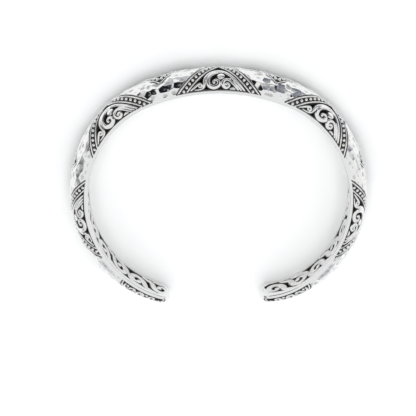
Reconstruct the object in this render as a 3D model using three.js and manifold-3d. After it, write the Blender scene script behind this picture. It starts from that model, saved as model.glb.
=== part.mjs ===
// A hollow silver cuff bracelet, lying on its side: the wrist goes through along +Z,
// the closed back of the cuff is at +Y and its mouth at -Y. Millimetres.
// One soldered solid: a domed outer shell, a pierced liner, plain rims and closed tips.
import * as THREE from "three";
import { mergeVertices } from "three/addons/utils/BufferGeometryUtils.js";
import Module from "manifold-3d";

// The plan of the inner wall: four arcs on each side of the middle of the back. The last one,
// at the tip, is bent in more on the right than on the left.
const crownRadius = 38;
const crownTurn = 24.5;
const shoulderRadius = 19.75;
const shoulderTurn = 16.5;
const sideRadius = 23.5;
const leftTipRadius = 21.4;
const leftTipTurn = 29;
const rightTipRadius = 16.5;
const rightTipTurn = 38;
const mouthGap = 19.55;
const mouthShift = -0.775;

// The band: its width along the wrist and its thickness from the inner wall out.
const bandWidth = 9;
const crownThickness = 4.55;
const tipThickness = 1.9;
const thicknessFall = 2.4;
const tipRound = 2.6;
const tipNose = 0.28;
const tipNarrowing = 0.2;
const tipCore = 0.45;
const rimWidth = 0.55;

// The walls round the hollow.
const shellWall = 0.8;
const linerWall = 0.8;
const sideWall = 0.9;
const endWall = 1.4;

// The arched panels of scrolls, measured on the outside at the middle of the back. panelTaper
// is how much an inset arch loses in half width and in rise for each millimetre of its inset.
const panelPitch = 23.2;
const panelWidth = 18.4;
const panelRise = 9.3;
const panelFoot = 0.15;
const panelNose = 0.4;
const panelTaper = 1.4;
const tipPanelWidth = 10.4;
const tipPanelRise = 5.6;
const tipPanelInset = 6.2;

// The relief on a panel's edge: an outer border, a beaded wire in a channel, shown plain, and
// an inner border. Heights are over the dome.
const borderWidth = 0.62;
const borderHeight = 0.36;
const beadWire = 0.9;
const beadWireHeight = 0.34;
const channelHeight = 0.16;

// The running scrolls of the liner.
const linerPitch = 10.5;
const linerEndClear = 4.2;

// The shape of a gap's sides, and how far its cutter reaches past the wall it cuts.
const gapSkew = 0.8;
const cutClear = 0.35;

// How finely curves are cut up.
const bandSteps = 40;
const domeSteps = 8;
const hollowSteps = 26;
const hollowDomeSteps = 5;
const edgingSteps = 10;
const lengthSteps = 48;
const tipShare = 0.14;
const sink = 0.3;

// Gaps of one panel. along is a share of half the panel's width from its middle, across a
// share of its rise from its foot, length and width shares of the rise; turn is in degrees,
// bend is how far the middle of a gap bows out, as a share of its length, and cuts is the
// number of chords along each of its sides.
const PANEL_GAPS = [
  { name: "edge drop", along: -0.37, across: 0.26, length: 0.15, width: 0.11, turn: 60, bend: 0, cuts: 2 },
  { name: "comma", along: -0.115, across: 0.36, length: 0.19, width: 0.12, turn: 62, bend: 0.2, cuts: 3 },
  { name: "ball", along: 0.195, across: 0.35, length: 0.15, width: 0.1, turn: -38, bend: 0.1, cuts: 2 },
  { name: "left foot", along: -0.29, across: 0.075, length: 0.13, width: 0.1, turn: 8, bend: 0.1, cuts: 2 },
  { name: "mid foot", along: 0.05, across: 0.075, length: 0.12, width: 0.1, turn: -6, bend: 0.1, cuts: 2 },
  { name: "curl", along: 0.285, across: 0.17, length: 0.15, width: 0.09, turn: -46, bend: 0.1, cuts: 2 },
];
const TIP_GAPS = [
  { name: "drop", along: -0.1, across: 0.42, length: 0.24, width: 0.16, turn: 60, bend: 0.15, cuts: 2 },
  { name: "left foot", along: -0.3, across: 0.14, length: 0.2, width: 0.14, turn: 10, bend: 0, cuts: 2 },
  { name: "right foot", along: 0.22, across: 0.2, length: 0.24, width: 0.16, turn: -30, bend: 0.15, cuts: 2 },
];
// Gaps of one length of the liner's scroll: along is a share of its pitch, across a share of
// the band's width from the upper rim, length and width shares of the band's width.
const LINER_GAPS = [
  { name: "crescent", along: 0.0, across: 0.63, length: 0.32, width: 0.14, turn: 70, bend: -0.3, cuts: 3 },
  { name: "leaf", along: 0.3, across: 0.7, length: 0.22, width: 0.13, turn: 50, bend: 0.1, cuts: 2 },
  { name: "front foot", along: -0.18, across: 0.3, length: 0.18, width: 0.13, turn: 100, bend: 0, cuts: 2 },
  { name: "back foot", along: 0.26, across: 0.33, length: 0.2, width: 0.13, turn: 75, bend: 0.15, cuts: 2 },
];

const rad = THREE.MathUtils.degToRad;
const lerp = THREE.MathUtils.lerp;

// The turn of one side's arc that brings its tip to x = reach from the middle: the tip's x is
// a * sin(h) + b * cos(h) + c for the heading h where the side ends, solved for h.
function sideTurn(reach, tip) {
  const start = rad(crownTurn + shoulderTurn);
  const a = sideRadius + tip.radius * (Math.cos(tip.turn) - 1);
  const b = tip.radius * Math.sin(tip.turn);
  const crownX = crownRadius * Math.sin(rad(crownTurn));
  const shoulderX = shoulderRadius * (Math.sin(start) - Math.sin(rad(crownTurn)));
  const c = crownX + shoulderX - sideRadius * Math.sin(start);
  const heading = Math.PI - Math.asin((reach - c) / Math.hypot(a, b)) - Math.atan2(b, a);
  return heading - start;
}

// The arcs of one side of the plan and their length, from the middle of the back to the tip.
function planSide(reach, tip) {
  const arcs = [
    { radius: crownRadius, turn: rad(crownTurn) },
    { radius: shoulderRadius, turn: rad(shoulderTurn) },
    { radius: sideRadius, turn: sideTurn(reach, tip) },
    tip,
  ];
  return { arcs, length: arcs.reduce((sum, arc) => sum + arc.radius * arc.turn, 0) };
}

const leftTip = { radius: leftTipRadius, turn: rad(leftTipTurn) };
const rightTip = { radius: rightTipRadius, turn: rad(rightTipTurn) };
const left = planSide(mouthGap / 2 - mouthShift, leftTip);
const right = planSide(mouthGap / 2 + mouthShift, rightTip);
const sideOf = (u) => (u < 0 ? left : right);
const middle = bandWidth / 2;

// The point and outward direction of the inner wall, u millimetres along it from the middle
// of the back, with the mouth below.
function innerWall(u) {
  let rest = Math.abs(u);
  let heading = 0;
  let x = 0;
  let y = 0;
  const { arcs } = sideOf(u);
  for (const [i, arc] of arcs.entries()) {
    const last = i === arcs.length - 1;
    const turn = last ? rest / arc.radius : Math.min(rest / arc.radius, arc.turn);
    x += arc.radius * (Math.sin(heading + turn) - Math.sin(heading));
    y += arc.radius * (Math.cos(heading + turn) - Math.cos(heading));
    heading += turn;
    rest -= turn * arc.radius;
    if (rest < 1e-9) break;
  }
  const side = u < 0 ? -1 : 1;
  return { x: side * x, y, nx: side * Math.sin(heading), ny: Math.cos(heading) };
}

// The band's thickness there, from the middle of the back to the tip.
function thickness(u) {
  const share = Math.min(Math.abs(u) / sideOf(u).length, 1);
  return lerp(crownThickness, tipThickness, share ** thicknessFall);
}

// How much of its full section the band keeps there: 1, falling in a quarter circle at a tip.
function fullness(u) {
  const past = (Math.abs(u) - (sideOf(u).length - tipRound)) / tipRound;
  if (past <= 0) return 1;
  return Math.sqrt(Math.max(1 - past * past, 0));
}

// A point of space from u, from its height out of the inner wall and its place across the
// band, -1 at the lower rim to 1 at the upper one. Towards a tip the section closes on a core.
function bandPoint(u, height, across) {
  const wall = innerWall(u);
  const full = fullness(u);
  const core = tipCore * thickness(u);
  const out = core + (height - core) * lerp(tipNose, 1, full);
  const z = middle + middle * across * lerp(tipNarrowing, 1, full);
  return new THREE.Vector3(wall.x + wall.nx * out, wall.y + wall.ny * out, z);
}

// A point over the dome: angle runs 0 to pi from the lower rim to the upper one, and lift is
// measured outward along the section's own normal.
function domePoint(u, angle, lift) {
  const rise = thickness(u) - rimWidth;
  const normal = new THREE.Vector2(Math.sin(angle) / rise, -Math.cos(angle) / middle).normalize();
  const height = rimWidth + rise * Math.sin(angle) + lift * normal.x;
  return bandPoint(u, height, -Math.cos(angle) + (lift * normal.y) / middle);
}

// The dome's angle at a share of its length across, from a table of summed chords.
function domeAngle(u, share) {
  const rise = thickness(u) - rimWidth;
  const sums = [0];
  for (let i = 0; i < lengthSteps; i += 1) {
    const angle = (Math.PI * (i + 0.5)) / lengthSteps;
    sums.push(sums[i] + Math.hypot(middle * Math.sin(angle), rise * Math.cos(angle)));
  }
  const wanted = share * sums[lengthSteps];
  const after = Math.max(sums.findIndex((sum) => sum >= wanted), 1);
  const part = (wanted - sums[after - 1]) / (sums[after] - sums[after - 1]);
  return (Math.PI * (after - 1 + part)) / lengthSteps;
}

// The length of the dome across the band, at the middle of the back.
const domeLength = (() => {
  const rise = crownThickness - rimWidth;
  const ratio = ((middle - rise) / (middle + rise)) ** 2;
  return (Math.PI / 2) * (middle + rise) * (1 + (3 * ratio) / (10 + Math.sqrt(4 - 3 * ratio)));
})();

// Moves each vertex of a geometry by a function of its x, y and z, and makes a solid of it.
function solid(geometry, place) {
  const bare = geometry.clone();
  bare.deleteAttribute("normal");
  bare.deleteAttribute("uv");
  const merged = mergeVertices(bare, 1e-5);
  const points = merged.attributes.position;
  for (let i = 0; i < points.count; i += 1) {
    const to = place(points.getX(i), points.getY(i), points.getZ(i));
    points.setXYZ(i, to.x, to.y, to.z);
  }
  const made = new wasm.Manifold(
    new wasm.Mesh({
      numProp: 3,
      vertProperties: Float32Array.from(points.array),
      triVerts: Uint32Array.from(merged.index.array),
    }),
  );
  if (made.volume() >= 0) return made;
  const turned = Uint32Array.from(merged.index.array);
  for (let i = 0; i < turned.length; i += 3) {
    [turned[i + 1], turned[i + 2]] = [turned[i + 2], turned[i + 1]];
  }
  return new wasm.Manifold(
    new wasm.Mesh({ numProp: 3, vertProperties: Float32Array.from(points.array), triVerts: turned }),
  );
}

// A long bar of a given section, one unit long and cut into steps along its length.
function bar(section, steps) {
  const shape = new THREE.Shape(section.map(([x, y]) => new THREE.Vector2(x, y)));
  return new THREE.ExtrudeGeometry(shape, { depth: 1, steps, bevelEnabled: false });
}

// Places along the band from tip to tip, for at from 0 to 1, leaving off a length at each end.
// They lie closer together where a tip rounds off.
function alongBand(at, leftOff) {
  const past = 2 * at - 1;
  const end = sideOf(past).length - leftOff;
  const straight = 1 - tipShare;
  const body = Math.min(Math.abs(past) / straight, 1);
  const nose = Math.max((Math.abs(past) - straight) / tipShare, 0);
  return Math.sign(past) * ((end - tipRound) * body + tipRound * Math.sin((nose * Math.PI) / 2));
}

// The outside of the band as one full body.
function bandBody() {
  const dome = Array.from({ length: domeSteps + 1 }, (_, i) => {
    const angle = (Math.PI * i) / domeSteps;
    return [1 + Math.sin(angle), -Math.cos(angle)];
  });
  const section = [[0, -1], ...dome, [0, 1]];
  return solid(bar(section, bandSteps), (x, y, at) => {
    const u = alongBand(at, 0);
    const height = x <= 1 ? x * rimWidth : rimWidth + (x - 1) * (thickness(u) - rimWidth);
    return bandPoint(u, height, y);
  });
}

// The hollow inside it, a half-round space standing on the liner and closed by the tips.
function hollow() {
  const section = Array.from({ length: hollowDomeSteps + 1 }, (_, i) => {
    const angle = (Math.PI * i) / hollowDomeSteps;
    return [Math.sin(angle), -Math.cos(angle)];
  });
  const halfWidth = (middle - sideWall) / middle;
  return solid(bar(section, hollowSteps), (x, y, at) => {
    const u = alongBand(at, endWall);
    return bandPoint(u, linerWall + x * (thickness(u) - linerWall - shellWall), y * halfWidth);
  });
}

// A gap's outline round its own middle: a drop with a point at each end, bowed by bend.
function gapOutline({ length, width, turn, bend, cuts: steps }) {
  const spine = (t) => [length * (t - 0.5), bend * length * (4 * t * (1 - t) - 0.5)];
  const girth = (t) => (width / 2) * Math.sin(Math.PI * t ** gapSkew);
  const outline = [];
  for (let i = 0; i <= steps; i += 1) {
    const [x, y] = spine(i / steps);
    outline.push([x, y + girth(i / steps)]);
  }
  for (let i = steps - 1; i > 0; i -= 1) {
    const [x, y] = spine(i / steps);
    outline.push([x, y - girth(i / steps)]);
  }
  const c = Math.cos(rad(turn));
  const s = Math.sin(rad(turn));
  return outline.map(([x, y]) => [x * c - y * s, x * s + y * c]);
}

// The panels: a row on the upper rim with its middle panel at the middle of the back, a row on
// the lower rim half a pitch along, and a short panel at each end of the upper row.
function panels() {
  const list = [];
  for (let i = -2; i <= 2; i += 1) {
    list.push({ at: i * panelPitch, low: false, width: panelWidth, rise: panelRise, gaps: PANEL_GAPS });
  }
  for (let i = -2.5; i <= 2.5; i += 1) {
    list.push({ at: i * panelPitch, low: true, width: panelWidth, rise: panelRise, gaps: PANEL_GAPS });
  }
  for (const side of [-1, 1]) {
    const at = side * (sideOf(side).length - tipPanelInset);
    list.push({ at, low: false, width: tipPanelWidth, rise: tipPanelRise, gaps: TIP_GAPS });
  }
  return list;
}

// A point over a panel, from its place along and up the panel and its lift out of the dome.
// Up leads away from the panel's own rim; a panel of the lower row is turned half round.
function panelPoint(panel, along, up, lift) {
  const share = (panelFoot + up) / domeLength;
  const u = panel.low ? panel.at - along : panel.at + along;
  return domePoint(u, domeAngle(u, panel.low ? share : 1 - share), lift);
}

// How far in from a panel's outer border its beaded wire and its inner border run.
const wireInset = borderWidth / 2 + beadWire / 2;
const innerBorderInset = 2 * wireInset;

// The arch of a panel's edge, inset by a distance: a hyperbola with a rounded point. It gives
// the place along and up for a share from 0 at the left foot to 1 at the right one.
function archPoint(panel, inset, share) {
  const rise = panel.rise - inset * panelTaper;
  const half = panel.width / 2 - inset * panelTaper;
  const slope = Math.sqrt((rise + panelNose) ** 2 - panelNose ** 2) / half;
  const along = (2 * share - 1) * half;
  return [along, rise + panelNose - Math.hypot(panelNose, slope * along)];
}

// The raised edging along a panel's arch: outer border, channel, beaded wire and inner border
// in one strip, its feet filed off level with the rims.
function edging(panel) {
  const half = borderWidth / 2;
  const section = [
    [-half, -sink],
    [0, borderHeight],
    [half, channelHeight],
    [wireInset, beadWireHeight],
    [innerBorderInset - half, channelHeight],
    [innerBorderInset, borderHeight],
    [innerBorderInset + half, -sink],
  ];
  return solid(bar(section, edgingSteps), (x, y, at) => {
    const [along, up] = archPoint(panel, half + x, at);
    return panelPoint(panel, along, up, y);
  })
    .trimByPlane([0, 0, 1], 0)
    .trimByPlane([0, 0, -1], -bandWidth);
}

// The gaps of a panel, cut square to the dome from outside into the hollow.
function panelGaps(panel) {
  return panel.gaps.map((gap) => {
    const sized = { ...gap, length: gap.length * panel.rise, width: gap.width * panel.rise };
    const outline = gapOutline(sized);
    return solid(bar(outline, 1), (x, y, at) => {
      const along = (gap.along * panel.width) / 2 + x;
      const lift = lerp(-shellWall - cutClear, borderHeight + cutClear, at);
      return panelPoint(panel, along, gap.across * panel.rise + y, lift);
    });
  });
}

// The liner's gaps, cut from the wrist side into the hollow.
function linerGaps() {
  const cutters = [];
  const first = Math.ceil((linerEndClear - left.length) / linerPitch);
  const last = Math.floor((right.length - linerEndClear) / linerPitch);
  for (let i = first; i <= last; i += 1) {
    for (const gap of LINER_GAPS) {
      const sized = { ...gap, length: gap.length * bandWidth, width: gap.width * bandWidth };
      const cutter = solid(bar(gapOutline(sized), 1), (x, y, depth) => {
        const u = (i + gap.along) * linerPitch + x;
        const across = 1 - 2 * gap.across - y / middle;
        return bandPoint(u, lerp(-cutClear, linerWall + cutClear, depth), across);
      });
      cutters.push(cutter);
    }
  }
  return cutters;
}

const wasm = await Module();
wasm.setup();

// Sets a solid on the floor with its box's middle over the origin, as a named mesh.
function mesh(name, made, material) {
  const { vertProperties, triVerts } = made.getMesh();
  const geometry = new THREE.BufferGeometry();
  geometry.setAttribute("position", new THREE.BufferAttribute(vertProperties, 3));
  geometry.setIndex(new THREE.BufferAttribute(triVerts, 1));
  geometry.computeBoundingBox();
  const centre = geometry.boundingBox.getCenter(new THREE.Vector3());
  geometry.translate(-centre.x, -centre.y, -geometry.boundingBox.min.z);
  const part = new THREE.Mesh(geometry, material);
  part.name = name;
  return part;
}

const relief = [];
const cuts = linerGaps();
for (const panel of panels()) {
  relief.push(edging(panel));
  cuts.push(...panelGaps(panel));
}

const shell = bandBody().subtract(hollow());
const dressed = wasm.Manifold.union([shell, ...relief]);
const cuff = dressed.subtract(wasm.Manifold.union(cuts));

const silver = new THREE.MeshStandardMaterial({ color: 0xd8d8d6, metalness: 1, roughness: 0.22 });
const bracelet = new THREE.Group();
bracelet.add(mesh("cuff", cuff, silver));

export default bracelet;
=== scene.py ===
"""A hollow silver cuff bracelet: a hammered and pierced shell with beaded edging, a pierced
liner, plain rims and rounded tips, lying on its side. Lengths are in millimetres up to
new_piece(), which writes metres. The floor, the lamp and the camera are in metres."""

import math

import bpy
import numpy as np
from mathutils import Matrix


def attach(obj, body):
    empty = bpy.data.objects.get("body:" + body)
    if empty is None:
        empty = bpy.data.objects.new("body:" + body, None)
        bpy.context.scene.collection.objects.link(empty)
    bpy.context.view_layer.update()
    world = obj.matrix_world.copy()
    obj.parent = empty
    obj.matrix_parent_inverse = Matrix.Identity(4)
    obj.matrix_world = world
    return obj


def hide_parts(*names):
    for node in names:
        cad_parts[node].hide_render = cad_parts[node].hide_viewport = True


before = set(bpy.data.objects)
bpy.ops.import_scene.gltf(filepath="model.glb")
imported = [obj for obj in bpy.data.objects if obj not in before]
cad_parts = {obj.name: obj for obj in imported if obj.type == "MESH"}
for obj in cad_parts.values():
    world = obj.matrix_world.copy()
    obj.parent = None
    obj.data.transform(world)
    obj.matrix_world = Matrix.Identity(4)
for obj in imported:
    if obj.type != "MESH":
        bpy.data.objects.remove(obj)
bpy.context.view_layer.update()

MM = 0.001

# The plan of the inner wall, as in the part: arcs of a radius and a turn in degrees from the
# middle of the back to each tip, whose reach is its distance from the middle of the mouth.
CROWN_RADIUS, CROWN_TURN = 38.0, 24.5
SHOULDER_RADIUS, SHOULDER_TURN = 19.75, 16.5
SIDE_RADIUS = 23.5
LEFT_TIP, RIGHT_TIP = (21.4, 29.0), (16.5, 38.0)
MOUTH_GAP, MOUTH_SHIFT = 19.55, -0.775
# The inner wall's middle over the middle of the cuff's box.
CROWN_Y = 21.738

# The band's section. The tips are a little thicker than the part's, and SKIN is how far the
# hammered surface stands over the part's dome.
BAND_WIDTH = 9.0
MIDDLE = BAND_WIDTH / 2
CROWN_THICKNESS, TIP_THICKNESS, THICKNESS_FALL = 4.55, 2.25, 2.1
TIP_ROUND, TIP_NARROWING, TIP_BLUNTNESS, TIP_CORE = 2.6, 0.15, 2.5, 0.45
RIM_WIDTH, EDGE_ROUND = 0.55, 0.3
SKIN = 0.15
SHELL_WALL, LINER_WALL, SIDE_WALL = 0.75, 0.75, 0.9

# The panels, as in the part, but for how much further the lower row's arches reach.
PANEL_PITCH, PANEL_WIDTH, PANEL_RISE = 23.2, 18.4, 9.3
PANEL_FOOT, PANEL_NOSE, PANEL_TAPER = 0.15, 0.4, 1.4
TIP_PANEL_WIDTH, TIP_PANEL_RISE, TIP_PANEL_INSET = 10.4, 5.6, 6.2
LOWER_EXTRA = 0.45

# Depths of a panel's relief below the hammered surface.
GROOVE_DEPTH, CHANNEL_DEPTH, FIELD_DEPTH, SILL_DEPTH = 0.24, 0.27, 0.36, 0.12
# A panel's edging, as distances in from its edge, and how far the field of strokes laps under
# the edging and the edging over the field.
OUTER_WIRE, CHANNEL, INNER_WIRE, FIELD_INSET = (0.2, 0.58), (0.68, 1.5), (1.58, 1.93), 2.05
FIELD_LAP, FRAME_LAP = 0.3, 0.08
# The sill along a panel's foot: where it ends, where the groove above it ends, and how wide
# the groove's slopes are.
SILL, SILL_GROOVE, SILL_SLOPE = 0.12, 0.27, 0.1
BEAD_INSET, BEAD_RADIUS, BEAD_SPACING, BEAD_SINK = 1.09, 0.37, 1.0, 0.17

# Strokes: how much wider they are than drawn, how far from one the plate is cut away, the
# power that flattens their round section, how far beside one its distance is worked out, and
# the distance that stands for any further one.
PANEL_SPREAD, LINER_SPREAD, GAP_MARGIN = 0.07, 0.2, 0.13
STROKE_POWER, STROKE_REACH, FAR = 0.8, 0.9, 9.0

# The liner: its pitch, its pierced field's edges from the upper rim, how far the field keeps
# from a tip and how long its oval end is, then its relief's depth, slope and frame.
LINER_PITCH = 10.5
LINER_FIELD, LINER_END, LINER_ROUND = (1.35, 7.9), 0.75, 2.6
LINER_DEPTH, LINER_SLOPE, LINER_FRAME = 0.3, 0.12, 0.15

# The hammer marks: their grid, how far they stray from it as a share of its spacing, their
# radii of curvature along and across the band, their depths, how soft the ridges between them
# are, and where they begin beside the rims.
HAMMER_SPACING, HAMMER_JITTER, HAMMER_SEED = 1.5, 0.36, 23
HAMMER_CELLS, HAMMER_MARGIN = (150, 16), 2
HAMMER_RADII = (4.2, 2.6)
HAMMER_DEPTH, HAMMER_SHARES, HAMMER_BASE = 0.085, (0.4, 1.0), 0.03
HAMMER_SOFTNESS = 0.012
HAMMER_EDGE = (0.15, 0.6)

# Relief and dimples are clean down to the first depth, and at their blackest from the second.
SOOT_DEPTHS, DIMPLE_DEPTHS = (0.08, 0.21), (0.02, 0.1)
# How grey the dimples are painted, a painted dark reflection of their facets, and how grey the
# liner's plate has gone, each as a share of black.
DIMPLE_PAINTED_REFLECTION, LINER_TARNISH = 0.36, 0.2

# Steps of the grids, how much closer together they lie round a tip, and how far a place of a
# grid moves onto a gap's edge, in steps.
FINE, COARSE, RIM_STEP = 0.105, 0.3, 0.35
LINER_STEP = FINE * 1.15
TIP_DENSITY, SNAP_REACH = 1.5, 0.62
# Into how many steps the table of angles, each part of a stroke, the inside of the liner, a
# rim's round edge and a side of a bead are divided, and the places along an arch.
ANGLE_STEPS, STROKE_STEPS, INSIDE_STEPS, ROUND_STEPS, BEAD_STEPS = 64, 5, 24, 6, 3
ARCH_PLACES = 400


def side_arcs(reach, tip_arc):
    """One side's arcs as arrays of radius, turn, start length, heading and point. The side
    arc's turn h makes a sin h + b cos h + c equal the tip's reach."""
    tip_radius, tip_turn = tip_arc
    crown, shoulder, tip = map(math.radians, (CROWN_TURN, SHOULDER_TURN, tip_turn))
    start = crown + shoulder
    a = SIDE_RADIUS + tip_radius * (math.cos(tip) - 1)
    b = tip_radius * math.sin(tip)
    c = CROWN_RADIUS * math.sin(crown) - SIDE_RADIUS * math.sin(start)
    c += SHOULDER_RADIUS * (math.sin(start) - math.sin(crown))
    heading = math.pi - math.asin((reach - c) / math.hypot(a, b)) - math.atan2(b, a)
    radius = np.array([CROWN_RADIUS, SHOULDER_RADIUS, SIDE_RADIUS, tip_radius])
    turn = np.array([crown, shoulder, heading - start, tip])
    ends = np.cumsum(turn)
    begins = ends - turn
    step_x = radius * (np.sin(ends) - np.sin(begins))
    step_y = radius * (np.cos(ends) - np.cos(begins))
    return {
        "radius": radius,
        "heading": begins,
        "start": np.cumsum(radius * turn) - radius * turn,
        "x": np.cumsum(step_x) - step_x,
        "y": np.cumsum(step_y) - step_y,
        "length": float((radius * turn).sum()),
    }


LEFT = side_arcs(MOUTH_GAP / 2 - MOUTH_SHIFT, LEFT_TIP)
RIGHT = side_arcs(MOUTH_GAP / 2 + MOUTH_SHIFT, RIGHT_TIP)


def inner_wall(u):
    """Point and outward direction of the inner wall, u along it from the middle of the back:
    on an arc of radius R from heading h0, x = x0 + R (sin h - sin h0) and y likewise with
    cosines, where h = h0 + (|u| - start) / R."""
    out = [np.empty_like(u) for _ in range(4)]
    for side, sign in ((LEFT, -1.0), (RIGHT, 1.0)):
        here = (u < 0) if sign < 0 else (u >= 0)
        along = np.abs(u[here])
        last = len(side["start"]) - 1
        arc = np.clip(np.searchsorted(side["start"], along, "right") - 1, 0, last)
        radius, begin = side["radius"][arc], side["heading"][arc]
        heading = begin + (along - side["start"][arc]) / radius
        out[0][here] = sign * (side["x"][arc] + radius * (np.sin(heading) - np.sin(begin)))
        out[1][here] = side["y"][arc] + radius * (np.cos(heading) - np.cos(begin)) + CROWN_Y
        out[2][here] = sign * np.sin(heading)
        out[3][here] = np.cos(heading)
    return out


def side_length(u):
    """The length of the side of the band that u lies on, from the back to its tip."""
    return np.where(u < 0, LEFT["length"], RIGHT["length"])


def thickness(u):
    """The band's thickness, falling with a power of the share of the way to the tip."""
    share = np.minimum(np.abs(u) / side_length(u), 1.0)
    fall = (CROWN_THICKNESS - TIP_THICKNESS) * share**THICKNESS_FALL
    return CROWN_THICKNESS + SKIN - fall


def fullness(u, power=2):
    """How much of its section the band keeps: 1, then a quarter circle to 0 at the tip, or a
    blunter curve for a higher power."""
    past = (np.abs(u) - (side_length(u) - TIP_ROUND)) / TIP_ROUND
    return np.sqrt(np.clip(1 - np.clip(past, 0, 1) ** power, 0, 1))


def band_point(u, height, across):
    """A point from u, its height out of the inner wall and its place across the band, -1 to 1.
    Towards a tip the section closes on its core. The rims are flat at 0 and at BAND_WIDTH."""
    x, y, nx, ny = inner_wall(u)
    full = fullness(u)
    core = TIP_CORE * thickness(u)
    out = core + (height - core) * fullness(u, TIP_BLUNTNESS)
    z = MIDDLE + MIDDLE * across * (TIP_NARROWING + (1 - TIP_NARROWING) * full)
    return np.stack([x + nx * out, y + ny * out, np.clip(z, 0, BAND_WIDTH)], -1)


def dome_point(u, angle, lift):
    """A point over the dome, a half ellipse on the rims, lifted along the ellipse's normal."""
    rise = thickness(u) - RIM_WIDTH
    nh, na = np.sin(angle) / rise, -np.cos(angle) / MIDDLE
    norm = np.hypot(nh, na)
    height = RIM_WIDTH + rise * np.sin(angle) + lift * nh / norm
    return band_point(u, height, -np.cos(angle) + lift * na / norm / MIDDLE)


def dome_share(u, angle):
    """The share of the dome's length across that lies before an angle, from summed chords
    over the last axis, whose first angle is 0 and last pi."""
    rise = (thickness(u) - RIM_WIDTH)[:, :-1]
    mid = (angle[:, 1:] + angle[:, :-1]) / 2
    chord = np.hypot(MIDDLE * np.sin(mid), rise * np.cos(mid))
    total = np.concatenate([np.zeros((len(u), 1)), np.cumsum(chord, 1)], 1)
    return total / total[:, -1:]


def dome_angle(u, share):
    """The angle at a share of the dome's length, by the same table read backwards."""
    angles = np.linspace(0, math.pi, ANGLE_STEPS + 1)
    table = dome_share(*np.meshgrid(u, angles, indexing="ij"))
    after = np.clip((table < share[:, None]).sum(1), 1, ANGLE_STEPS)[:, None]
    before, there = (np.take_along_axis(table, after - k, 1)[:, 0] for k in (1, 0))
    return (after[:, 0] - 1 + (share - before) / (there - before)) * math.pi / ANGLE_STEPS


def ellipse_half_length(a, b):
    """Half the length round an ellipse of half axes a and b: pi / 2 (a + b) times
    1 + 3 r / (10 + sqrt(4 - 3 r)), where r is the square of (a - b) / (a + b)."""
    ratio = ((a - b) / (a + b)) ** 2
    return math.pi / 2 * (a + b) * (1 + 3 * ratio / (10 + math.sqrt(4 - 3 * ratio)))


DOME_LENGTH = ellipse_half_length(MIDDLE, CROWN_THICKNESS + SKIN - RIM_WIDTH)


def smooth(value, low, high):
    """A smooth step from 0 at low to 1 at high: 3 t^2 - 2 t^3 for the share t between them."""
    t = np.clip((value - low) / (high - low), 0, 1)
    return t * t * (3 - 2 * t)


def brush(*marks):
    """A smooth stroke through marks of x, y and half width, as rows of the same: between two
    marks p1 and p2 it is the cubic whose slopes there are (p2 - p0) / 2 and (p3 - p1) / 2."""
    marks = np.array([marks[0], *marks, marks[-1]], float)
    t = np.linspace(0, 1, STROKE_STEPS + 1)[:-1, None]
    p0, p1, p2, p3 = (marks[k : len(marks) - 3 + k][:, None] for k in range(4))
    curve = p1 + t * (p2 - p0) / 2 + t**2 * (p0 - 2.5 * p1 + 2 * p2 - p3 / 2)
    curve += t**3 * (1.5 * p1 - p0 / 2 - 1.5 * p2 + p3 / 2)
    return np.concatenate([curve.reshape(-1, 3), marks[-1:]])


def turned_round(stroke, x, y):
    """A stroke turned half round a point."""
    return stroke * (-1, -1, 1) + (2 * x, 2 * y, 0)


# The scroll work of a large panel: x from its middle, y up from its foot, half width.
PANEL_STROKES = [
    # The leaf under the arch, from the left foot over the top to the right foot.
    brush((-4.9, 0.42, 0.1), (-3.9, 0.44, 0.17), (-3.15, 0.75, 0.21), (-2.86, 1.5, 0.24),
          (-2.76, 2.5, 0.27), (-2.32, 3.5, 0.3), (-1.3, 4.55, 0.34), (0, 4.98, 0.35),
          (1.2, 4.6, 0.33), (2.4, 3.62, 0.27), (3.5, 2.53, 0.22), (4.9, 1.0, 0.2),
          (5.45, 0.38, 0.18)),
    # The rib inside it.
    brush((4.75, 0.38, 0.17), (4.24, 0.95, 0.19), (3.3, 2.0, 0.2), (2.75, 2.55, 0.16),
          (2.35, 2.95, 0.09)),
    # The large scroll.
    brush((0.9, 4.33, 0.08), (0.1, 4.42, 0.15), (-1.0, 4.1, 0.26), (-1.8, 3.3, 0.33),
          (-2.08, 2.3, 0.36), (-1.9, 1.25, 0.44), (-1.0, 0.78, 0.52), (-0.05, 1.2, 0.46),
          (0.08, 2.0, 0.33), (-0.42, 2.48, 0.25), (-0.92, 2.25, 0.21), (-0.92, 1.85, 0.28)),
    # The ball beside it.
    brush((0.3, 2.75, 0.12), (0.4, 3.1, 0.5), (0.5, 3.4, 0.76), (0.5, 3.5, 0.74)),
    # The right scroll, which begins as the innermost rib.
    brush((4.12, 0.38, 0.14), (3.62, 0.95, 0.18), (2.95, 1.7, 0.2), (2.4, 2.28, 0.24),
          (1.85, 2.66, 0.28), (1.2, 2.42, 0.32), (0.9, 1.83, 0.34), (1.04, 1.12, 0.38),
          (1.6, 0.74, 0.38), (2.12, 1.08, 0.27), (2.15, 1.52, 0.2), (1.82, 1.8, 0.18),
          (1.56, 1.53, 0.25)),
    # The left curl.
    brush((-5.75, 0.42, 0.12), (-4.95, 1.0, 0.2), (-4.3, 1.5, 0.23), (-3.8, 1.72, 0.23),
          (-3.42, 1.4, 0.19), (-3.58, 1.0, 0.17), (-3.95, 1.0, 0.15), (-4.02, 1.22, 0.17)),
    # The flat piece at the right foot.
    brush((2.5, 0.5, 0.14), (3.0, 0.62, 0.24), (3.4, 0.48, 0.14)),
]
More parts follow.
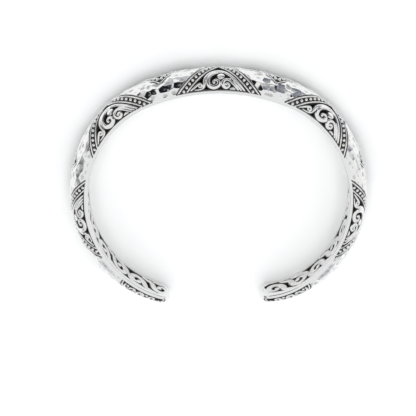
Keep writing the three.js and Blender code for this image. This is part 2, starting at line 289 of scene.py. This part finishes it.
# The same of a tip's panel: the leaf under its arch, then scrolls, drops and leaves from its
# left to its right.
TIP_STROKES = [
    brush((-4.0, 0.6, 0.15), (-3.95, 1.8, 0.18), (-3.3, 2.9, 0.2), (-2.2, 3.6, 0.22),
          (-0.8, 4.05, 0.24), (0.8, 4.1, 0.24), (2.2, 3.7, 0.22), (3.3, 2.9, 0.2),
          (3.9, 1.8, 0.18)),
    brush((-3.4, 0.75, 0.26), (-3.35, 0.9, 0.3)),
    brush((-3.3, 2.1, 0.12), (-2.85, 1.6, 0.24), (-2.45, 0.9, 0.26), (-1.85, 0.7, 0.24),
          (-1.5, 1.15, 0.18), (-1.85, 1.45, 0.16)),
    brush((-2.6, 3.0, 0.12), (-1.8, 2.5, 0.24), (-1.0, 2.3, 0.28), (-0.85, 1.4, 0.28),
          (-0.55, 0.8, 0.28), (0.1, 0.75, 0.26), (0.5, 1.2, 0.2), (0.2, 1.65, 0.17),
          (-0.1, 1.4, 0.2)),
    brush((-1.2, 3.4, 0.14), (-0.2, 3.1, 0.3), (0.4, 2.5, 0.36), (0.5, 2.4, 0.34)),
    brush((1.1, 0.75, 0.26), (1.15, 1.0, 0.3)),
    brush((0.3, 3.5, 0.12), (1.3, 3.0, 0.26), (1.75, 2.0, 0.26), (1.9, 1.0, 0.24),
          (2.4, 0.7, 0.2), (2.85, 1.0, 0.17), (2.6, 1.35, 0.15)),
    brush((1.9, 3.2, 0.15), (2.6, 2.6, 0.24), (2.9, 2.1, 0.26)),
]
# The same of one pitch of the liner, with y from the upper rim: a scroll, a leaf and a foot,
# and all three turned half round.
LINER_STROKES = [
    brush((-6.1, 7.4, 0.26), (-5.2, 7.2, 0.42), (-4.5, 6.2, 0.54), (-4.15, 4.7, 0.62),
          (-3.5, 3.2, 0.66), (-2.3, 2.55, 0.66), (-1.2, 3.4, 0.58), (-1.05, 4.9, 0.44),
          (-1.85, 5.9, 0.36), (-2.8, 5.6, 0.3), (-2.85, 4.85, 0.46)),
    brush((-4.1, 7.6, 0.2), (-3.0, 7.3, 0.4), (-1.7, 7.25, 0.46), (-0.65, 6.4, 0.4),
          (-0.25, 5.4, 0.34), (-0.1, 4.5, 0.34)),
    brush((-6.4, 1.5, 0.26), (-5.4, 2.1, 0.5), (-4.6, 1.8, 0.36), (-3.7, 1.5, 0.16)),
]
LINER_STROKES += [turned_round(stroke, 0, MIDDLE) for stroke in LINER_STROKES]


def stroke_field(x, y, strokes, spread):
    """Distance outside the nearest stroke, and the share of its half width there: over each
    stroke's straight pieces, the distance to the piece less the half width at that place, to
    which spread is added."""
    outside = np.full(x.shape, FAR)
    share = np.full(x.shape, FAR)
    for stroke in strokes:
        low, high = stroke[:, 0].min() - STROKE_REACH, stroke[:, 0].max() + STROKE_REACH
        near = (x > low) & (x < high)
        px, py = x[near][:, None], y[near][:, None]
        ax, ay, aw = (stroke[None, :-1, k] for k in range(3))
        bx, by, bw = (stroke[None, 1:, k] for k in range(3))
        dx, dy = bx - ax, by - ay
        t = np.clip(((px - ax) * dx + (py - ay) * dy) / (dx * dx + dy * dy + 1e-9), 0, 1)
        distance = np.hypot(px - ax - t * dx, py - ay - t * dy)
        half = aw + t * (bw - aw) + spread
        outside[near] = np.minimum(outside[near], (distance - half).min(1))
        share[near] = np.minimum(share[near], (distance / half).min(1))
    return outside, share


def stroke_height(share, depth):
    """Height of a stroke over its plate at -depth, at a share of its half width: a half round,
    sqrt(1 - share^2), flattened by a power."""
    return -depth + depth * np.sqrt(1 - np.clip(share, 0, 1) ** 2) ** STROKE_POWER


def wire(distance, band, depth):
    """Height of a half-round wire between two distances, standing on a plate at -depth."""
    middle, half = sum(band) / 2, (band[1] - band[0]) / 2
    q = np.clip(np.abs(distance - middle) / half, 0, 1)
    return -depth + depth * np.sqrt(1 - q**2)


def arch_height(x, panel, inset):
    """Height of a large panel's arch at x, inset by a distance: a hyperbola with a rounded
    point, rise + nose - sqrt(nose^2 + (slope x)^2)."""
    rise = panel["rise"] - inset * PANEL_TAPER
    half = panel["width"] / 2 - inset * PANEL_TAPER
    slope = math.sqrt((rise + PANEL_NOSE) ** 2 - PANEL_NOSE**2) / half
    return rise + PANEL_NOSE - np.hypot(PANEL_NOSE, slope * x)


def arch_inset(x, y, panel):
    """Distance in from a panel's outline, a hyperbola with a rounded point or for a tip's panel
    half an ellipse: the outline's own equation over its slope."""
    rise, half = panel["rise"], panel["width"] / 2
    if not panel["big"]:
        ring = np.hypot(x / half, y / rise) + 1e-6
        return (1 - ring) * ring / (np.hypot(x / half**2, y / rise**2) + 1e-6)
    apex = rise + PANEL_NOSE
    slope = math.sqrt(apex**2 - PANEL_NOSE**2) / half
    root = np.hypot(PANEL_NOSE, slope * x)
    return (apex - root - y) / np.hypot(1, slope**2 * x / root)


def panel_relief(x, y, panel):
    """Height and metal distance over a panel: grooves, two wires with a channel between them
    (one wire on a tip's panel), then strokes on a plate that is cut away (distance under 0)
    where it is clear of them, and a sill along the foot."""
    inset = arch_inset(x, y, panel)
    inside = (inset > 0) & (y > 0)
    height = np.where(inset < CHANNEL[0], -GROOVE_DEPTH, -CHANNEL_DEPTH)
    height = np.maximum(height, wire(inset, OUTER_WIRE, GROOVE_DEPTH))
    if panel["big"]:
        height = np.maximum(height, wire(inset, INNER_WIRE, CHANNEL_DEPTH))
    start = FIELD_INSET if panel["big"] else CHANNEL[0]
    field = inside & (inset > start - FIELD_LAP) & (y > SILL)
    outside, share = stroke_field(x[field], y[field], panel["strokes"], PANEL_SPREAD)
    plate = stroke_height(share, FIELD_DEPTH)
    height[field] = np.where(inset[field] > start, plate, np.maximum(plate, height[field]))
    edge = np.maximum(start - inset[field], SILL_GROOVE - y[field]) + FRAME_LAP
    metal = np.full(x.shape, 1.0)
    metal[field] = np.maximum(GAP_MARGIN - outside, edge)
    groove_top = SILL_GROOVE + SILL_SLOPE
    sill = smooth(y, SILL - SILL_SLOPE, SILL) * (1 - smooth(y, SILL_GROOVE, groove_top))
    height = np.where(y < groove_top, np.minimum(height, -SILL_DEPTH * sill), height)
    height = np.where(y < SILL, -SILL_DEPTH * sill, height)
    return inside, height, metal


def panel_list():
    """The panels: a row on the upper rim, a row on the lower rim half a pitch along and turned
    half round, and a short panel at each tip, the left one a mirror image of the right one."""
    rows = [(i * PANEL_PITCH, False, True) for i in range(-2, 3)]
    rows += [((i + 0.5) * PANEL_PITCH, True, True) for i in range(-3, 3)]
    rows += [(TIP_PANEL_INSET - LEFT["length"], False, False)]
    rows += [(RIGHT["length"] - TIP_PANEL_INSET, False, False)]
    panels = []
    for at, low, big in rows:
        panels.append({
            "at": at,
            "low": low,
            "big": big,
            "flip": -1 if low or (not big and at < 0) else 1,
            "width": PANEL_WIDTH if big else TIP_PANEL_WIDTH,
            "rise": PANEL_RISE + LOWER_EXTRA * low if big else TIP_PANEL_RISE,
            "strokes": PANEL_STROKES if big else TIP_STROKES,
        })
    return panels


PANELS = panel_list()


def hammered(u, v):
    """Height of a hammered surface: the soft lowest of shallow dimples at jittered places of a
    grid. Each is a paraboloid a^2 / 2A + b^2 / 2B up from its own depth, and their soft lowest
    is minus the softness times the log of the sum of exp(-height / softness)."""
    rng = np.random.default_rng(HAMMER_SEED)
    cells_u, cells_v = HAMMER_CELLS
    jitter = rng.uniform(-HAMMER_JITTER, HAMMER_JITTER, (cells_u, cells_v, 2))
    depth = rng.uniform(*HAMMER_SHARES, (cells_u, cells_v)) * HAMMER_DEPTH
    iu = np.floor(u / HAMMER_SPACING).astype(int) + cells_u // 2
    iv = np.floor(v / HAMMER_SPACING).astype(int) + HAMMER_MARGIN
    total = np.zeros(u.shape)
    for du, dv in np.ndindex(3, 3):
        a, b = np.clip(iu + du - 1, 0, cells_u - 1), np.clip(iv + dv - 1, 0, cells_v - 1)
        cu = (a - cells_u // 2 + 0.5 + jitter[a, b, 0]) * HAMMER_SPACING
        cv = (b - HAMMER_MARGIN + 0.5 + jitter[a, b, 1]) * HAMMER_SPACING
        dimple = (u - cu) ** 2 / (2 * HAMMER_RADII[0]) + (v - cv) ** 2 / (2 * HAMMER_RADII[1])
        total += np.exp((depth[a, b] + HAMMER_BASE - dimple) / HAMMER_SOFTNESS)
    return -HAMMER_SOFTNESS * np.log(total)


def along_lines(step):
    """Places along the band, evenly from tip to tip and closing up towards each tip as the
    sine of an even angle."""
    count = int((LEFT["length"] + RIGHT["length"]) / step)
    nose = int(TIP_ROUND / step * TIP_DENSITY)
    body = np.linspace(TIP_ROUND - LEFT["length"], RIGHT["length"] - TIP_ROUND, count)
    swing = np.sin(np.linspace(0, math.pi / 2, nose + 1))[1:] * TIP_ROUND
    return np.concatenate([(body[0] - swing)[::-1], body, body[-1] + swing])


def dome_lines(step):
    """Angles over the dome, evenly from the lower rim to the upper one."""
    return np.linspace(0, math.pi, int(DOME_LENGTH / step) + 1)


def across_lines(inset, count):
    """Places across the band, evenly between its edges less an inset."""
    return np.linspace(-1 + inset / MIDDLE, 1 - inset / MIDDLE, count)


def snapped(metal):
    """Moves grid places next to a gap's edge onto it, as offsets in whole steps of the grid:
    minus the distance times its gradient over the gradient's square. Says which are cut."""
    gi, gj = np.gradient(metal)
    square = gi**2 + gj**2 + 1e-9
    di, dj = -metal * gi / square, -metal * gj / square
    near = np.hypot(di, dj) < SNAP_REACH
    return np.where(near, di, 0), np.where(near, dj, 0), (metal < 0) & ~near


def moved(first, second, di, dj):
    """The grid of two lines of places, each place moved by parts of a step along each line."""
    i = np.arange(len(first))[:, None] + di
    j = np.arange(len(second))[None, :] + dj
    return (np.interp(i, np.arange(len(first)), first),
            np.interp(j, np.arange(len(second)), second))


def quad_corners(values):
    """A grid's values at the four corners of each of its quads, along a last axis."""
    around = (values[:-1, :-1], values[1:, :-1], values[1:, 1:], values[:-1, 1:])
    return np.stack(around, -1)


def grid_faces(shape, keep=...):
    """Corner numbers of a grid's quads, of all of them or of those where keep is true."""
    return quad_corners(np.arange(shape[0] * shape[1]).reshape(shape))[keep].reshape(-1, 4)


def pierced_faces(cut):
    """Quads of a grid that have no cut corner."""
    return grid_faces(cut.shape, ~quad_corners(cut).any(-1))


def gap_walls(faces, shape, outer, inner):
    """Points and quads of the walls of a grid's gaps, from the outer points to the inner ones:
    one for each edge that only one quad has, in that quad's own direction, apart from edges on
    the grid's border."""
    edges = np.concatenate([faces[:, [k, (k + 1) % 4]] for k in range(4)])
    low, high = edges.min(1), edges.max(1)
    key = low.astype(np.int64) * (edges.max() + 1) + high
    _, first, count = np.unique(key, return_index=True, return_counts=True)
    edges = edges[first[count == 1]]
    border = np.ones(shape, bool)
    border[1:-1, 1:-1] = False
    begin, end = edges[~border.ravel()[edges].all(1)].T
    walls = np.stack([end, begin, begin + len(outer), end + len(outer)], -1)
    return np.concatenate([outer, inner]), walls


def new_piece(name, points, faces, material, oxide_and_painted_shade=0.0):
    """Makes a mesh object from points in millimetres and quads, drops unused points and
    writes how blackened each point is."""
    used, renumbered = np.unique(faces, return_inverse=True)
    faces = renumbered.reshape(faces.shape)
    mesh = bpy.data.meshes.new(name)
    mesh.from_pydata((points[used] * MM).tolist(), [], faces.tolist())
    mesh.polygons.foreach_set("use_smooth", np.ones(len(faces), bool))
    layer = mesh.attributes.new("oxide_and_painted_shade", "FLOAT", "POINT")
    layer.data.foreach_set("value", (oxide_and_painted_shade + np.zeros(len(points)))[used])
    mesh.materials.append(material)
    piece = bpy.data.objects.new(name, mesh)
    bpy.context.scene.collection.objects.link(piece)
    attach(piece, "root")
    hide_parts("cuff")


def shell_fields(u, angle):
    """Height over the dome, metal distance, soot and owner (0 hammered, 1 upper panel, 2 lower
    panel) at each place of a grid over the dome."""
    v = dome_share(u, angle) * DOME_LENGTH
    height = hammered(u, v) * smooth(np.minimum(v, DOME_LENGTH - v), *HAMMER_EDGE)
    metal = np.full(u.shape, 1.0)
    owner = np.zeros(u.shape, int)
    for panel in PANELS:
        columns = np.abs(u[:, 0] - panel["at"]) < panel["width"] / 2
        x = (u[columns] - panel["at"]) * panel["flip"]
        y = (v[columns] if panel["low"] else DOME_LENGTH - v[columns]) - PANEL_FOOT
        inside, relief, solid = panel_relief(x, y, panel)
        height[columns] = np.where(inside, relief, height[columns])
        metal[columns] = np.where(inside, solid, metal[columns])
        owner[columns] = np.where(inside, 2 if panel["low"] else 1, owner[columns])
    # Painted dark reflection: the hammer dimples are greyed by their depth, like the dark facets
    # of hammered silver. The panels' black is the oxide in their recesses.
    dimples = DIMPLE_PAINTED_REFLECTION * smooth(-height, *DIMPLE_DEPTHS)
    return height, metal, np.where(owner > 0, smooth(-height, *SOOT_DEPTHS), dimples), owner


def make_shell(material, dark):
    """The pierced dome as three pieces, hammered ribbon, upper panels and lower panels, and the
    gaps' walls, which run from each gap's edge straight into the hollow."""
    lines = along_lines(FINE), dome_lines(FINE)
    height, metal, oxide_and_painted_shade, owner = shell_fields(*np.meshgrid(*lines, indexing="ij"))
    di, dj, cut = snapped(metal)
    u, angle = moved(*lines, di, dj)
    outer = dome_point(u, angle, height).reshape(-1, 3)
    inner = dome_point(u, angle, -SHELL_WALL).reshape(-1, 3)
    whole = ~quad_corners(cut).any(-1)
    quad_owner = quad_corners(owner).max(-1)
    for number, name in enumerate(("hammered_ribbon", "upper_panels", "lower_panels")):
        faces = grid_faces(cut.shape, whole & (quad_owner == number))
        new_piece(name, outer, faces, material, oxide_and_painted_shade.ravel())
    points, walls = gap_walls(pierced_faces(cut), cut.shape, outer, inner)
    new_piece("shell_gap_walls", points, walls, dark, 1.0)


def liner_fields(u, across):
    """Depth into the liner, metal distance and soot over the inner wall: plain rims, and
    strokes on a plate that is cut away between them, inside a field with oval ends."""
    y = MIDDLE - MIDDLE * across
    x = LINER_PITCH / 2 - (u + LINER_PITCH / 2) % LINER_PITCH
    low, high = LINER_FIELD
    edge = np.minimum(y - low, high - y)
    past = 1 - (side_length(u) - LINER_END - np.abs(u)) / LINER_ROUND
    oval = np.hypot(np.maximum(past, 0), (y - low) / ((high - low) / 2) - 1)
    edge = np.where(past > 0, np.minimum(edge, (1 - oval) * LINER_ROUND), edge)
    field = edge > 0
    outside, share = stroke_field(x[field], y[field], LINER_STROKES, LINER_SPREAD)
    height = np.zeros(u.shape)
    height[field] = stroke_height(share, LINER_DEPTH)
    plate = -LINER_DEPTH * smooth(edge, 0, LINER_SLOPE)
    height = np.where(field, np.maximum(height, plate), 0)
    metal = np.full(u.shape, 1.0)
    metal[field] = np.maximum(GAP_MARGIN - outside, LINER_FRAME - edge[field])
    return height, metal, np.maximum(smooth(-height, *SOOT_DEPTHS), LINER_TARNISH * field)


def make_liner(material, dark):
    """The pierced inner wall, its relief measured away from the wrist, and its gaps' walls."""
    across = across_lines(EDGE_ROUND, int(BAND_WIDTH / LINER_STEP))
    lines = along_lines(LINER_STEP), across
    height, metal, oxide_and_painted_shade = liner_fields(*np.meshgrid(*lines, indexing="ij"))
    di, dj, cut = snapped(metal)
    u, across = moved(*lines, di, dj)
    outer = band_point(u, -height, across).reshape(-1, 3)
    inner = band_point(u, LINER_WALL, across).reshape(-1, 3)
    faces = pierced_faces(cut)[:, ::-1]
    new_piece("liner", outer, faces, material, oxide_and_painted_shade.ravel())
    points, walls = gap_walls(faces, cut.shape, outer, inner)
    new_piece("liner_gap_walls", points, walls, dark, 1.0)


def make_rims(material):
    """The plain rims, lower and upper: a quarter round on the liner's edge, then a flat strip
    out to the dome, carried along the band."""
    turn = np.linspace(0, math.pi / 2, ROUND_STEPS + 1)
    height = np.concatenate([EDGE_ROUND * (1 - np.cos(turn)), [RIM_WIDTH]])
    inset = np.concatenate([EDGE_ROUND * (1 - np.sin(turn)), [0.0]])
    for name, side in (("lower_rim", -1), ("upper_rim", 1)):
        u, height_here = np.meshgrid(along_lines(RIM_STEP), height, indexing="ij")
        points = band_point(u, height_here, side * (1 - inset / MIDDLE))
        faces = grid_faces(u.shape)[:, ::-side]
        new_piece(name, points.reshape(-1, 3), faces, material)


def make_hollow(dark):
    """The blackened inside of the hollow, the shell's and the liner's inner faces, with the same
    gaps cut through at a coarser step. Its black is partly oxide and partly painted shade, so
    that the hollow looks dark through the gaps."""
    lines = along_lines(COARSE), dome_lines(COARSE)
    _, metal, _, _ = shell_fields(*np.meshgrid(*lines, indexing="ij"))
    di, dj, cut = snapped(metal)
    points = dome_point(*moved(*lines, di, dj), -SHELL_WALL).reshape(-1, 3)
    new_piece("shell_inside", points, pierced_faces(cut)[:, ::-1], dark, 1.0)
    lines = along_lines(COARSE), across_lines(SIDE_WALL, INSIDE_STEPS + 1)
    _, metal, _ = liner_fields(*np.meshgrid(*lines, indexing="ij"))
    di, dj, cut = snapped(metal)
    u, across = moved(*lines, di, dj)
    points = band_point(u, LINER_WALL, across).reshape(-1, 3)
    new_piece("liner_inside", points, pierced_faces(cut), dark, 1.0)


def quad_ball(steps):
    """A ball of radius 1 without poles: the six sides of a cube, each a grid of steps by steps
    squares spaced as tangents of even angles, pushed out to length 1 and joined."""
    line = np.tan(np.linspace(-math.pi / 4, math.pi / 4, steps + 1))
    a, b = (grid.ravel() for grid in np.meshgrid(line, line, indexing="ij"))
    sides = [np.stack(np.roll([np.ones_like(a), a, b], k, 0), -1) for k in range(3)]
    sides += [-side for side in sides]
    square = grid_faces((steps + 1, steps + 1))
    faces = [(square if k < 3 else square[:, ::-1]) + k * len(a) for k in range(6)]
    points, number = np.unique(np.concatenate(sides).round(6), axis=0, return_inverse=True)
    points /= np.linalg.norm(points, axis=1)[:, None]
    return points, number.ravel()[np.concatenate(faces)]


def bead_centres(panel):
    """Centres of the beads in a large panel's channel, evenly by length along its inset arch."""
    half = panel["width"] / 2 - BEAD_INSET * PANEL_TAPER
    x = half * np.sin(np.linspace(-math.pi / 2, math.pi / 2, ARCH_PLACES))
    y = arch_height(x, panel, BEAD_INSET)
    length = np.concatenate([[0], np.cumsum(np.hypot(np.diff(x), np.diff(y)))])
    start = BEAD_RADIUS + SILL_GROOVE
    count = int((length[-1] - 2 * start) / BEAD_SPACING) + 1
    places = np.linspace(start, length[-1] - start, count)
    u = panel["at"] + panel["flip"] * np.interp(places, length, x)
    share = (PANEL_FOOT + np.interp(places, length, y)) / DOME_LENGTH
    share = share if panel["low"] else 1 - share
    return dome_point(u, dome_angle(u, share), -BEAD_SINK)


def make_beads(material):
    """Rows of beads in each large panel's channel, one small ball at each centre."""
    centres = np.concatenate([bead_centres(panel) for panel in PANELS if panel["big"]])
    ball, faces = quad_ball(BEAD_STEPS)
    points = centres[:, None, :] + BEAD_RADIUS * ball
    faces = faces + np.arange(len(centres))[:, None, None] * len(ball)
    new_piece("bead_rows", points.reshape(-1, 3), faces.reshape(-1, 4), material)


# Silver, clean and blackened: colours, the black's metallic share and added roughness, and the
# blackening, which is oxide and painted shade together, with its mottling added, at which black
# begins and is full.
CLEAN_COLOR, BLACK_COLOR = (0.85, 0.847, 0.838, 1), (0.028, 0.024, 0.021, 1)
BLACK_METAL, BLACK_ROUGHNESS = 0.35, 0.38
BLACK_RANGE = (0.3, 0.85)
# The mottling: cells in a metre, and what it adds to the blackening and to the roughness.
MOTTLE_SCALE, MOTTLE_SOOT, MOTTLE_ROUGHNESS = 420.0, 0.35, 0.08
# The grain: cells in a metre, and its height in metres.
GRAIN_SCALE, GRAIN_HEIGHT = 2600.0, 0.00002


def node(tree, kind, inputs, **values):
    """A new node with properties and inputs, each given a value or the socket to link."""
    made = tree.nodes.new(kind)
    for key, value in values.items():
        setattr(made, key, value)
    for key, value in inputs.items():
        if isinstance(value, bpy.types.NodeSocket):
            tree.links.new(value, made.inputs[key])
        else:
            made.inputs[key].default_value = value
    return made


def patina_and_shade_group():
    """Colour, roughness, metal and grain of silver: bright where soot is 0, blackened where it
    is 1, with a fine mottling of both."""
    tree = bpy.data.node_groups.new("patina_and_painted_shade", "ShaderNodeTree")
    for name in ("OxideAndPaintedShade", "Polish"):
        tree.interface.new_socket(name, in_out="INPUT", socket_type="NodeSocketFloat")
    tree.interface.new_socket("Color", in_out="OUTPUT", socket_type="NodeSocketColor")
    for name in ("Roughness", "Metal", "Height"):
        tree.interface.new_socket(name, in_out="OUTPUT", socket_type="NodeSocketFloat")
    entry = node(tree, "NodeGroupInput", {})
    place = node(tree, "ShaderNodeTexCoord", {}).outputs["Object"]
    mottle = node(tree, "ShaderNodeTexNoise",
                  {"Vector": place, "Scale": MOTTLE_SCALE, "Detail": 4.0}).outputs["Fac"]
    grain = node(tree, "ShaderNodeTexNoise",
                 {"Vector": place, "Scale": GRAIN_SCALE, "Detail": 3.0}).outputs["Fac"]
    oxide_and_painted_shade = node(tree, "ShaderNodeMath", {0: mottle, 1: MOTTLE_SOOT, 2: entry.outputs["OxideAndPaintedShade"]},
                operation="MULTIPLY_ADD")
    low, high = BLACK_RANGE
    black = node(tree, "ShaderNodeMapRange",
                 {"Value": oxide_and_painted_shade.outputs[0], "From Min": low, "From Max": high},
                 interpolation_type="SMOOTHSTEP").outputs["Result"]
    color = node(tree, "ShaderNodeMix", {"Factor": black, "A": CLEAN_COLOR, "B": BLACK_COLOR},
                 data_type="RGBA")
    rough = node(tree, "ShaderNodeMapRange",
                 {"Value": black, "To Min": 0.0, "To Max": BLACK_ROUGHNESS})
    haze = node(tree, "ShaderNodeMath",
                {0: mottle, 1: MOTTLE_ROUGHNESS, 2: entry.outputs["Polish"]},
                operation="MULTIPLY_ADD")
    total = node(tree, "ShaderNodeMath", {0: rough.outputs["Result"], 1: haze.outputs[0]},
                 operation="ADD")
    metal = node(tree, "ShaderNodeMapRange",
                 {"Value": black, "To Min": 1.0, "To Max": BLACK_METAL})
    node(tree, "NodeGroupOutput",
         {"Color": color.outputs["Result"], "Roughness": total.outputs[0],
          "Metal": metal.outputs["Result"], "Height": grain})
    return tree


def silver(name, group, polish, bump):
    """Silver darkened by oxide and by painted shade, as the piece's blackening says, and a fine
    grain.
    """
    material = bpy.data.materials.new(name)
    material.use_nodes = True
    tree = material.node_tree
    shader = tree.nodes["Principled BSDF"]
    oxide_and_painted_shade = node(tree, "ShaderNodeAttribute", {}, attribute_name="oxide_and_painted_shade").outputs["Fac"]
    patina_and_painted_shade = node(tree, "ShaderNodeGroup", {"OxideAndPaintedShade": oxide_and_painted_shade, "Polish": polish}, node_tree=group)
    for out, into in (("Color", "Base Color"), ("Roughness", "Roughness"), ("Metal", "Metallic")):
        tree.links.new(patina_and_painted_shade.outputs[out], shader.inputs[into])
    grain = node(tree, "ShaderNodeBump", {"Strength": bump, "Distance": GRAIN_HEIGHT,
                                          "Height": patina_and_painted_shade.outputs["Height"]})
    tree.links.new(grain.outputs["Normal"], shader.inputs["Normal"])
    return material


# The floor: how far it reaches each way, its colour and its roughness.
FLOOR_REACH, FLOOR_COLOR, FLOOR_ROUGHNESS = 3.0, (0.93, 0.93, 0.93, 1), 0.8


def make_floor():
    """A wide pale floor under the rim."""
    mesh = bpy.data.meshes.new("floor")
    low, high = -FLOOR_REACH, FLOOR_REACH
    corners = [(low, low, 0), (high, low, 0), (high, high, 0), (low, high, 0)]
    mesh.from_pydata(corners, [], [(0, 1, 2, 3)])
    floor = bpy.data.objects.new("floor", mesh)
    bpy.context.scene.collection.objects.link(floor)
    material = bpy.data.materials.new("floor")
    material.use_nodes = True
    shader = material.node_tree.nodes["Principled BSDF"]
    shader.inputs["Base Color"].default_value = FLOOR_COLOR
    shader.inputs["Roughness"].default_value = FLOOR_ROUGHNESS
    mesh.materials.append(material)


# The room: its colours at the horizon and from a height up, and patches that the silver
# mirrors, each a direction, where it begins to fade and ends, in degrees, and a colour.
HORIZON_COLOR, OVERHEAD_COLOR, OVERHEAD_FROM = (0.4, 0.42, 0.45), (0.84, 0.85, 0.86), 0.55
ROOM_STRENGTH = 1.07
ROOM_PATCHES = (
    ((-0.8, 0.5, 0.75), 10, 30, (0.9, 0.9, 0.89)),
    ((0.95, -0.1, 0.5), 10, 34, (0.92, 0.92, 0.92)),
    ((0.1, 0.55, 0.85), 6, 16, (0.9, 0.9, 0.88)),
    ((0.5, 0.84, 0.2), 10, 26, (0.16, 0.18, 0.22)),
    ((-0.95, 0.2, 0.1), 8, 20, (0.16, 0.17, 0.17)),
    ((-0.95, -0.4, 0.25), 6, 18, (0.3, 0.31, 0.3)),
    ((0.9, 0.35, 0.2), 5, 12, (0.25, 0.27, 0.3)),
    ((-0.17, 0.74, 0.62), 20, 25, (0.01, 0.011, 0.016)),
)


def room_patch(tree, place, direction, inner, outer):
    """1 in a round patch of the room about a direction, falling to 0 between two angles in
    degrees from it: a smooth step over the cosine of the angle."""
    cosine = node(tree, "ShaderNodeVectorMath",
                  {0: place, 1: np.array(direction) / np.linalg.norm(direction)},
                  operation="DOT_PRODUCT")
    low, high = (math.cos(math.radians(angle)) for angle in (outer, inner))
    patch = node(tree, "ShaderNodeMapRange",
                 {"Value": cosine.outputs["Value"], "From Min": low, "From Max": high},
                 interpolation_type="SMOOTHSTEP")
    return patch.outputs["Result"]


def make_room():
    """A soft studio room: pale overhead, greyer towards the horizon, with soft brighter and
    darker patches for the silver to mirror."""
    world = bpy.data.worlds.new("room")
    bpy.context.scene.world = world
    world.use_nodes = True
    tree = world.node_tree
    place = node(tree, "ShaderNodeTexCoord", {}).outputs["Generated"]
    split = node(tree, "ShaderNodeSeparateXYZ", {0: place})
    shade = node(tree, "ShaderNodeValToRGB", {"Fac": split.outputs["Z"]})
    low, high = shade.color_ramp.elements
    low.position, low.color = 0.0, (*HORIZON_COLOR, 1)
    high.position, high.color = OVERHEAD_FROM, (*OVERHEAD_COLOR, 1)
    color = shade.outputs["Color"]
    for direction, inner, outer, patch_color in ROOM_PATCHES:
        patch = room_patch(tree, place, direction, inner, outer)
        mix = node(tree, "ShaderNodeMix", {"Factor": patch, "A": color, "B": (*patch_color, 1)},
                   data_type="RGBA")
        color = mix.outputs["Result"]
    back = tree.nodes["Background"]
    tree.links.new(color, back.inputs["Color"])
    back.inputs["Strength"].default_value = ROOM_STRENGTH


# The lamp: its height, its width and its power in watts.
LAMP_HEIGHT, LAMP_SIZE, LAMP_POWER = 1.3, 0.9, 8.0


def make_lamp():
    """A soft lamp over the cuff, facing down. The silver mirrors the room alone."""
    light = bpy.data.lights.new("overhead_light", "AREA")
    light.size = LAMP_SIZE
    light.energy = LAMP_POWER
    lamp = bpy.data.objects.new("overhead_light", light)
    lamp.location = (0, 0, LAMP_HEIGHT)
    lamp.visible_glossy = False
    bpy.context.scene.collection.objects.link(lamp)


# The camera: the photograph's angle to the cuff, its distance and its frame.
CAMERA_TILT = 18.0
CAMERA_PLACE = (0.0, 0.15204, 0.480)
CAMERA_LENS, CAMERA_SENSOR, CAMERA_REACH = 196.9, 36.0, 20.0
CENTRE_PIXEL = (218.44, 194.74)
PHOTO_SIZE = 416


def make_camera():
    """The camera looks along the wrist, tilted towards the closed back, with the back up."""
    data = bpy.data.cameras.new("camera")
    data.lens = CAMERA_LENS
    data.sensor_width = CAMERA_SENSOR
    data.clip_end = CAMERA_REACH
    data.shift_x = (PHOTO_SIZE / 2 - CENTRE_PIXEL[0]) / PHOTO_SIZE
    data.shift_y = (CENTRE_PIXEL[1] - PHOTO_SIZE / 2) / PHOTO_SIZE
    camera = bpy.data.objects.new("camera", data)
    camera.location = CAMERA_PLACE
    camera.rotation_euler = (math.radians(-CAMERA_TILT), 0, 0)
    bpy.context.scene.collection.objects.link(camera)
    bpy.context.scene.camera = camera


make_camera()
patina_and_painted_shade = patina_and_shade_group()
polished = silver("polished_silver", patina_and_painted_shade, polish=0.06, bump=0.15)
# This black silver is oxide on the gaps' walls. On the inside of the hollow it is partly oxide
# and partly painted shade.
blackened = silver("blackened_silver_and_painted_shade", patina_and_painted_shade, polish=0.3, bump=0.6)
make_shell(polished, blackened)
make_liner(polished, blackened)
make_rims(polished)
make_hollow(blackened)
make_beads(polished)
make_floor()
make_room()
make_lamp()
bpy.context.scene.view_settings.view_transform = "Standard"
